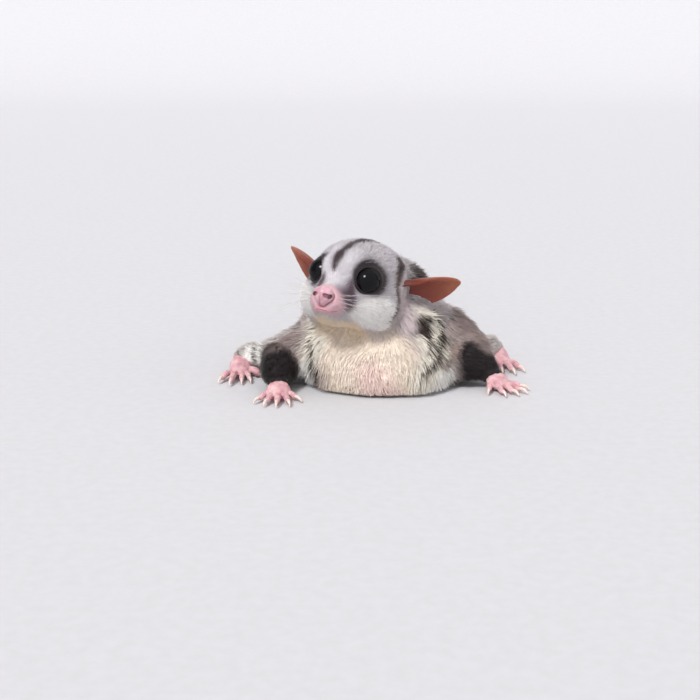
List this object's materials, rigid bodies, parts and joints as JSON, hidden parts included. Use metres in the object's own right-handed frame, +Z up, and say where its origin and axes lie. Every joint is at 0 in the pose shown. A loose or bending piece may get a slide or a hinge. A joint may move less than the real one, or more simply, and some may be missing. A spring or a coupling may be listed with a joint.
{
  "type": "life-size sugar glider model",
  "caption": "Still life-size model of a small grey gliding possum, crouched low on all fours with its head raised and turned and its long tail laid out behind.",
  "frame": {"origin": "middle of the bounding box's footprint, on the floor that the animal rests on", "axes": "+Z up, the body and tail run along Y with the head towards -Y, and +X is the animal's left"},
  "size_m": [0.0962, 0.2508, 0.0448],
  "materials": {
    "coat": "soft, dense grey-brown fur with a dark back stripe",
    "pale_coat": "soft cream fur",
    "dark_coat": "soft charcoal fur",
    "bare_skin": "thin pink skin with pale claws",
    "ear_skin": "thin bare skin, matt",
    "nose_skin": "moist pink skin",
    "eye": "glossy, near black"
  },
  "bodies": {
    "root": {"head": "coat", "nose": "nose_skin", "neck": "pale_coat", "torso": "coat", "tail": "coat", "eye_left": "eye", "ear_left": "ear_skin", "upper_arm_left": "coat", "forearm_left": "dark_coat", "hand_left": "bare_skin", "thigh_left": "coat", "shin_left": "coat", "foot_left": "bare_skin", "membrane_left": "dark_coat", "eye_right": "eye", "ear_right": "ear_skin", "upper_arm_right": "coat", "forearm_right": "dark_coat", "hand_right": "bare_skin", "thigh_right": "coat", "shin_right": "coat", "foot_right": "bare_skin", "membrane_right": "dark_coat"}
  },
  "joints": []
}
